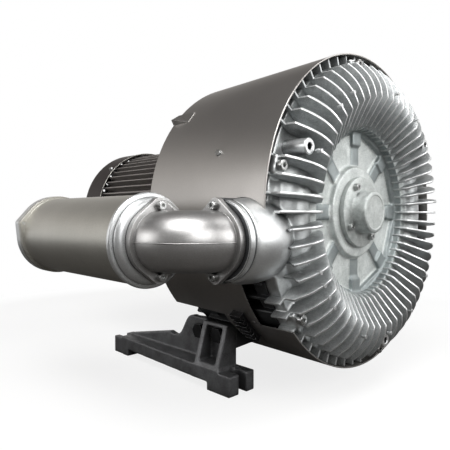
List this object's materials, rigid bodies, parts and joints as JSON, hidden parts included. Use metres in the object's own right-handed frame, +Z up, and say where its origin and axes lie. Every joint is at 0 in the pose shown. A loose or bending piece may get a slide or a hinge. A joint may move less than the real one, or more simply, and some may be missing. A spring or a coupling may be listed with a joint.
{
  "type": "side channel blower",
  "caption": "Side channel blower on feet, with a ribbed round cover, a sheet shroud, a flange motor and pipe silencers on both sides.",
  "frame": {"origin": "on the floor, under the middle of the blower's box", "axes": "+Y along the shaft from the ribbed front cover to the motor, +Z up, the inlet silencer on -X and the outlet silencer on +X"},
  "size_m": [0.9228, 0.778, 0.6],
  "materials": {
    "cast_aluminium": "as-cast, blasted",
    "elbow_casting": "brushed cast aluminium",
    "machined_aluminium": "machined",
    "shroud_paint": "dark grey satin",
    "black_steel": "black oxide",
    "zinc_steel": "zinc plated",
    "bearing_steel": "ground",
    "laminations": "stacked sheet",
    "copper": "enamelled wire",
    "seal_rubber": "moulded",
    "silencer_paint": "grey satin",
    "acoustic_foam": "open-cell foam",
    "motor_paint": "dark grey enamel",
    "cowl_paint": "dark grey enamel",
    "fan_plastic": "moulded",
    "foot_iron": "as-cast, painted"
  },
  "bodies": {
    "housing": {"front_cover": "cast_aluminium", "bearing_cap": "cast_aluminium", "middle_housing": "cast_aluminium", "rear_cover": "cast_aluminium", "front_bearing_outer_ring": "bearing_steel", "rear_bearing_outer_ring": "bearing_steel", "shaft_seals": "seal_rubber", "shroud_upper": "shroud_paint", "shroud_lower": "shroud_paint", "shroud_clamps": "black_steel", "shroud_screws": "zinc_steel", "left_elbow": "elbow_casting", "right_elbow": "elbow_casting", "port_gaskets": "seal_rubber", "elbow_screws": "zinc_steel", "left_silencer_collar": "cast_aluminium", "right_silencer_collar": "cast_aluminium", "left_silencer_body": "silencer_paint", "right_silencer_body": "silencer_paint", "left_silencer_end_cap": "cast_aluminium", "right_silencer_end_cap": "cast_aluminium", "left_perforated_tube": "bearing_steel", "right_perforated_tube": "bearing_steel", "left_silencer_lining": "acoustic_foam", "right_silencer_lining": "acoustic_foam", "end_cap_bolts": "zinc_steel", "motor_frame": "motor_paint", "motor_flange_bolts": "zinc_steel", "stator_core": "laminations", "stator_windings": "copper", "motor_rear_shield": "cast_aluminium", "shield_bolts": "zinc_steel", "fan_cowl": "cowl_paint", "cowl_screws": "zinc_steel", "terminal_box": "motor_paint", "terminal_box_lid": "motor_paint", "lid_screws": "zinc_steel", "terminal_board": "fan_plastic", "cable_gland": "fan_plastic", "right_foot": "foot_iron", "left_foot": "foot_iron", "foot_bolts": "black_steel", "cover_bolts": "zinc_steel", "rear_cover_bolts": "black_steel", "bearing_cap_screws": "zinc_steel"},
    "rotor": {"shaft": "bearing_steel", "front_impeller": "machined_aluminium", "rear_impeller": "machined_aluminium", "impeller_spacer": "bearing_steel", "seal_sleeve": "bearing_steel", "impeller_keys": "bearing_steel", "bearing_nut": "bearing_steel", "rotor_core": "laminations", "front_bearing_inner_ring": "bearing_steel", "rear_bearing_inner_ring": "bearing_steel", "cooling_fan": "fan_plastic"},
    "front_cage": {"front_bearing_balls": "bearing_steel"},
    "rear_cage": {"rear_bearing_balls": "bearing_steel"}
  },
  "joints": [
    {"name": "rotor_spin", "type": "hinge", "parent": "housing", "child": "rotor", "pos_m": [0, -0.31, 0.32], "axis": [0, 1, 0], "continuous": true},
    {"name": "front_cage_spin", "type": "hinge", "parent": "housing", "child": "front_cage", "pos_m": [0, -0.3275, 0.32], "axis": [0, 1, 0], "continuous": true},
    {"name": "rear_cage_spin", "type": "hinge", "parent": "housing", "child": "rear_cage", "pos_m": [0, 0.327, 0.32], "axis": [0, 1, 0], "continuous": true}
  ],
  "couplings": [
    {"joint": "front_cage_spin", "follows": "rotor_spin", "ratio": 0.4067},
    {"joint": "rear_cage_spin", "follows": "rotor_spin", "ratio": 0.4067}
  ]
}
